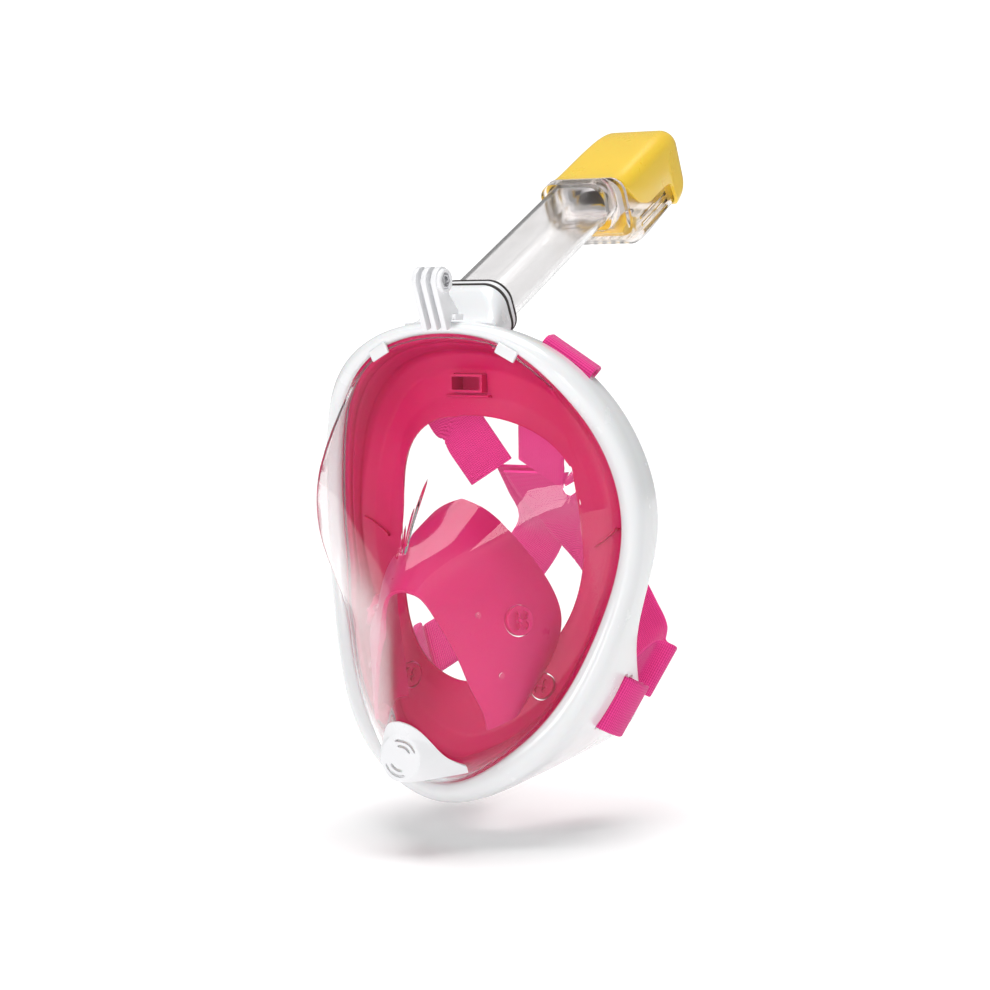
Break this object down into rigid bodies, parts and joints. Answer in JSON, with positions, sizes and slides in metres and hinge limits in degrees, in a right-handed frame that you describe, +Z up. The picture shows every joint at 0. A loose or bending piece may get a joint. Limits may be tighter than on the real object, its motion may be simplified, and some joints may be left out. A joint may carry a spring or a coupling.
{
  "type": "full face snorkel mask",
  "caption": "Full-face snorkel mask: white frame, clear lens, pink silicone skirt and straps, chin purge cover, camera mount, flat tube with a yellow dry-top cap.",
  "frame": {"origin": "middle of the skirt's face opening, on the mask's middle plane", "axes": "+Z up as worn, the lens faces -Y, the wearer's face comes in from +Y, +X is the wearer's left"},
  "size_m": [0.199, 0.2992, 0.3768],
  "materials": {
    "white_plastic": "glossy moulded",
    "clear_plastic": "clear polycarbonate",
    "pink_silicone": "satin silicone",
    "yellow_plastic": "satin moulded",
    "black_rubber": "matt",
    "valve_silicone": "translucent silicone",
    "steel": "stainless",
    "pink_elastic": "woven elastic"
  },
  "bodies": {
    "mask": {"main_frame": "white_plastic", "lens": "clear_plastic", "face_skirt": "pink_silicone", "nose_hood": "pink_silicone", "hood_pin_1": "clear_plastic", "hood_pin_2": "clear_plastic", "hood_pin_3": "clear_plastic", "hood_pin_4": "clear_plastic", "purge_cover": "white_plastic", "purge_valve_seat": "white_plastic", "inhale_valve_left_seat": "clear_plastic", "inhale_valve_right_seat": "clear_plastic", "exhale_valve_left_seat": "clear_plastic", "exhale_valve_right_seat": "clear_plastic", "camera_mount": "white_plastic", "camera_mount_nut": "steel", "air_duct": "clear_plastic", "socket_seal": "black_rubber", "strap_upper_left": "pink_elastic", "strap_upper_right": "pink_elastic", "strap_lower_left": "pink_elastic", "strap_lower_right": "pink_elastic"},
    "snorkel": {"snorkel_tube": "clear_plastic", "tube_collar": "white_plastic", "collar_seal": "black_rubber", "valve_housing": "clear_plastic", "snorkel_cap": "yellow_plastic", "intake_valve_seat": "white_plastic", "float_hinge_pin": "steel"},
    "float": {"float_body": "yellow_plastic", "float_seal": "black_rubber"},
    "purge_disc": {"purge_valve_disc": "valve_silicone"},
    "inhale_disc_left": {"inhale_valve_left_disc": "valve_silicone"},
    "inhale_disc_right": {"inhale_valve_right_disc": "valve_silicone"},
    "exhale_disc_left": {"exhale_valve_left_disc": "valve_silicone"},
    "exhale_disc_right": {"exhale_valve_right_disc": "valve_silicone"}
  },
  "joints": [
    {"name": "snorkel_pull", "type": "slide", "parent": "mask", "child": "snorkel", "axis": [0, 0.887, 0.4617], "range_m": [0, 0.03]},
    {"name": "float_swing", "type": "hinge", "parent": "snorkel", "child": "float", "pos_m": [0, 0.14239, 0.19296], "axis": [1, 0, 0], "range_deg": [0, 28]},
    {"name": "purge_valve_lift", "type": "slide", "parent": "mask", "child": "purge_disc", "axis": [0, -1, 0], "range_m": [0, 0.0012], "stiffness_N_per_m": 30},
    {"name": "inhale_valve_lift_left", "type": "slide", "parent": "mask", "child": "inhale_disc_left", "axis": [-0.8536, 0.4976, -0.1542], "range_m": [0, 0.001], "stiffness_N_per_m": 30},
    {"name": "inhale_valve_lift_right", "type": "slide", "parent": "mask", "child": "inhale_disc_right", "axis": [0.8536, 0.4976, -0.1542], "range_m": [0, 0.001], "stiffness_N_per_m": 30},
    {"name": "exhale_valve_lift_left", "type": "slide", "parent": "mask", "child": "exhale_disc_left", "axis": [-0.0195, 0.9387, -0.3441], "range_m": [0, 0.001], "stiffness_N_per_m": 30},
    {"name": "exhale_valve_lift_right", "type": "slide", "parent": "mask", "child": "exhale_disc_right", "axis": [0.0195, 0.9387, -0.3441], "range_m": [0, 0.001], "stiffness_N_per_m": 30}
  ]
}
